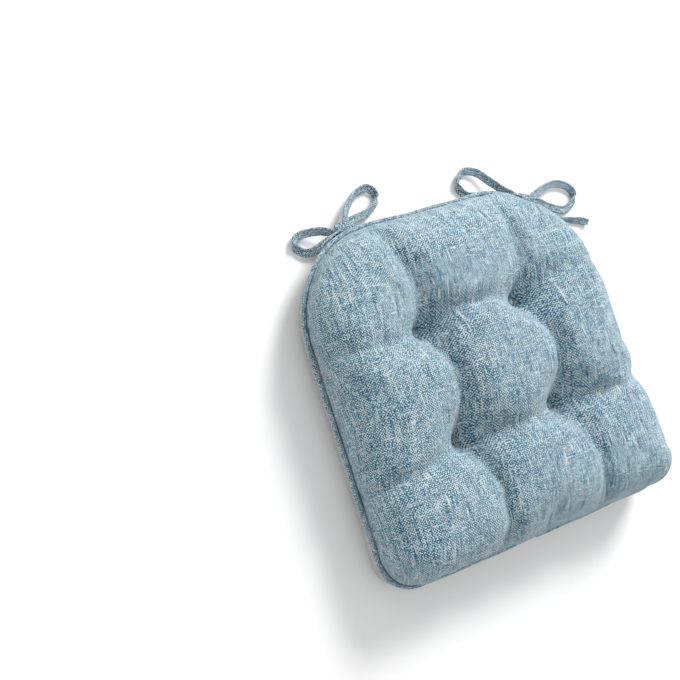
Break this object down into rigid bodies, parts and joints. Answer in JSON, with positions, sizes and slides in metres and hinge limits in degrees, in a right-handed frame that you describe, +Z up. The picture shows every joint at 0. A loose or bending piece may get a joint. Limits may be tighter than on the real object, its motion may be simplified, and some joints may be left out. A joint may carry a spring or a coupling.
{
  "type": "chair seat pad",
  "caption": "Thick U-shaped tufted chair seat pad in a blue linen-look cover with a piped seam, a boxed non-slip underside and a tie bow at each back corner.",
  "frame": {"origin": "middle of the flat underside, which rests on the chair", "axes": "+Z up through the crown, +X to the right across the pad, +Y to the rounded back edge with the ties, -Y to the straight front edge"},
  "size_m": [0.4824, 0.458, 0.0993],
  "materials": {
    "linen_cover": "heathered slub weave, matt",
    "piping_cloth": "the cover's weave cut on the bias, matt",
    "tie_tape": "the cover's weave folded and stitched into tape, matt",
    "grip_fabric": "pale plain cloth with raised grip dots",
    "foam": "open-cell foam",
    "fibre": "loose polyester fibre",
    "cotton": "twisted cotton"
  },
  "bodies": {
    "pad": {"bottom_cover": "grip_fabric", "foam_core": "foam", "top_cover": "linen_cover", "welt_cover": "piping_cloth", "welt_cord": "cotton", "tuft_button_1": "linen_cover", "tuft_thread_1": "cotton", "tuft_button_2": "linen_cover", "tuft_thread_2": "cotton", "tuft_button_3": "linen_cover", "tuft_thread_3": "cotton", "tuft_button_4": "linen_cover", "tuft_thread_4": "cotton", "left_tie_root": "tie_tape", "right_tie_root": "tie_tape"},
    "filling": {"fibre_fill": "fibre"},
    "left_bow": {"left_tie_strap": "tie_tape", "left_tie_knot": "tie_tape", "left_tie_loop_outer": "tie_tape", "left_tie_loop_inner": "tie_tape", "left_tie_tail_long": "tie_tape", "left_tie_tail_short": "tie_tape"},
    "right_bow": {"right_tie_strap": "tie_tape", "right_tie_knot": "tie_tape", "right_tie_loop_outer": "tie_tape", "right_tie_loop_inner": "tie_tape", "right_tie_tail_long": "tie_tape", "right_tie_tail_short": "tie_tape"}
  },
  "joints": [
    {"name": "seat_compression", "type": "slide", "parent": "pad", "child": "filling", "axis": [0, 0, -1], "range_m": [0, 0.02], "stiffness_N_per_m": 15000, "deforming": ["top_cover", "foam_core"]},
    {"name": "left_tie_swing", "type": "hinge", "parent": "pad", "child": "left_bow", "pos_m": [-0.1401, 0.1908, 0.0253], "axis": [0, 0, 1], "range_deg": [0, 10]},
    {"name": "right_tie_swing", "type": "hinge", "parent": "pad", "child": "right_bow", "pos_m": [0.1401, 0.1908, 0.0253], "axis": [0, 0, 1], "range_deg": [0, 8]}
  ]
}
